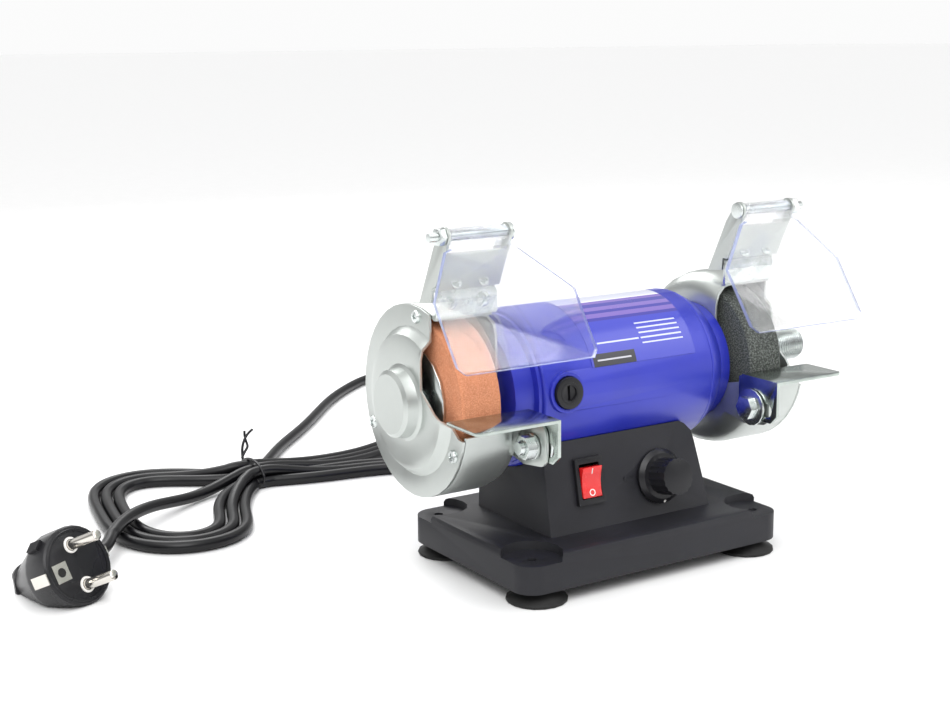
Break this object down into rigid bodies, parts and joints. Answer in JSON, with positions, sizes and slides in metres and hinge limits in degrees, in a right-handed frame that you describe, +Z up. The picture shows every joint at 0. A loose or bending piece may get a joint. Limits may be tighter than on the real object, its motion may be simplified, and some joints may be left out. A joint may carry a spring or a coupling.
{
  "type": "bench grinder",
  "caption": "Small variable-speed bench grinder with guarded grinding wheels, tilting clear eye shields, adjustable tool rests, a flexible-shaft port and a tied mains cord.",
  "frame": {"origin": "centre of the machine's footprint, cord left out, at the height of the bench the feet stand on", "axes": "+X along the shaft towards the flexible-shaft port, +Y from the switch side to the back, +Z up"},
  "size_m": [0.4256, 0.4535, 0.1668],
  "materials": {
    "black_abs": "fine moulded texture, satin",
    "black_gloss_plastic": "smooth moulding",
    "foot_rubber": "soft black rubber",
    "blue_paint": "satin royal blue paint",
    "silver_paint": "satin silver-grey lacquer on pressed steel",
    "zinc_plate": "bright zinc plating",
    "steel": "turned steel",
    "lamination": "stacked electrical sheet",
    "copper_wire": "varnished winding",
    "brass": "plain",
    "carbon": "pressed carbon",
    "fan_plastic": "moulded",
    "board": "fibreglass board",
    "red_plastic": "smooth red moulding",
    "clear_plastic": "clear polycarbonate",
    "orange_abrasive": "fine vitrified grit",
    "grey_abrasive": "coarse vitrified grit",
    "cord_jacket": "glossy black jacket"
  },
  "bodies": {
    "frame": {"base_housing": "black_abs", "base_plate": "black_abs", "foot_front_left": "foot_rubber", "foot_front_right": "foot_rubber", "foot_back_left": "foot_rubber", "foot_back_right": "foot_rubber", "motor_housing": "blue_paint", "motor_end_bell": "blue_paint", "stator_core": "lamination", "field_coil_upper": "copper_wire", "field_coil_lower": "copper_wire", "left_bearing": "steel", "right_bearing": "steel", "front_brush_holder": "brass", "rear_brush_holder": "brass", "front_brush": "carbon", "rear_brush": "carbon", "front_brush_cap": "black_gloss_plastic", "rear_brush_cap": "black_gloss_plastic", "speed_control_board": "board", "potentiometer": "steel", "switch_body": "black_gloss_plastic", "strain_relief": "foot_rubber", "flex_shaft_collar": "zinc_plate", "cord_lead": "cord_jacket", "cord_hank": "cord_jacket", "cord_tail": "cord_jacket", "mains_plug": "black_gloss_plastic", "left_guard_bowl": "silver_paint", "left_guard_cover": "silver_paint", "left_shield_bracket": "silver_paint", "left_spark_plate": "zinc_plate", "left_hinge_bolt": "zinc_plate", "right_guard_bowl": "silver_paint", "right_guard_cover": "silver_paint", "right_shield_bracket": "silver_paint", "right_spark_plate": "zinc_plate", "right_hinge_bolt": "zinc_plate"},
    "rotor": {"spindle": "steel", "armature": "lamination", "commutator": "copper_wire", "cooling_fan": "fan_plastic", "left_wheel": "orange_abrasive", "right_wheel": "grey_abrasive", "left_outer_flange": "zinc_plate", "right_outer_flange": "zinc_plate", "left_inner_flange": "zinc_plate", "right_inner_flange": "zinc_plate", "left_spindle_nut": "zinc_plate", "right_spindle_nut": "zinc_plate"},
    "left_shield": {"left_eye_shield": "clear_plastic"},
    "right_shield": {"right_eye_shield": "clear_plastic"},
    "left_rest_clamp": {"left_rest_bolt": "zinc_plate", "left_rest_nut": "zinc_plate"},
    "right_rest_clamp": {"right_rest_bolt": "zinc_plate", "right_rest_nut": "zinc_plate"},
    "left_rest": {"left_tool_rest": "zinc_plate"},
    "right_rest": {"right_tool_rest": "zinc_plate"},
    "rocker": {"switch_rocker": "red_plastic"},
    "knob": {"speed_knob": "black_gloss_plastic"}
  },
  "joints": [
    {"name": "spindle_spin", "type": "hinge", "parent": "frame", "child": "rotor", "pos_m": [-0.01671, -0.0004, 0.0858], "axis": [1, 0, 0], "continuous": true},
    {"name": "switch_rocker_press", "type": "hinge", "parent": "frame", "child": "rocker", "pos_m": [-0.04071, -0.03607, 0.04542], "axis": [-1, 0, 0], "range_deg": [0, 20]},
    {"name": "speed_knob_turn", "type": "hinge", "parent": "frame", "child": "knob", "pos_m": [-0.00021, -0.03635, 0.0412], "axis": [0, -0.9787, 0.2052], "range_deg": [0, 300]},
    {"name": "left_shield_tilt", "type": "hinge", "parent": "frame", "child": "left_shield", "pos_m": [-0.09685, -0.0297, 0.1626], "axis": [-1, 0, 0], "range_deg": [0, 110]},
    {"name": "left_rest_tilt", "type": "hinge", "parent": "frame", "child": "left_rest_clamp", "pos_m": [-0.07725, -0.0473, 0.0703], "axis": [1, 0, 0], "range_deg": [0, 12]},
    {"name": "left_rest_slide", "type": "slide", "parent": "left_rest_clamp", "child": "left_rest", "axis": [0, -1, 0], "range_m": [-0.0012, 0.003]},
    {"name": "right_shield_tilt", "type": "hinge", "parent": "frame", "child": "right_shield", "pos_m": [0.06835, -0.0297, 0.1626], "axis": [-1, 0, 0], "range_deg": [0, 110]},
    {"name": "right_rest_tilt", "type": "hinge", "parent": "frame", "child": "right_rest_clamp", "pos_m": [0.04875, -0.0473, 0.0703], "axis": [1, 0, 0], "range_deg": [0, 12]},
    {"name": "right_rest_slide", "type": "slide", "parent": "right_rest_clamp", "child": "right_rest", "axis": [0, -1, 0], "range_m": [-0.0012, 0.003]}
  ]
}
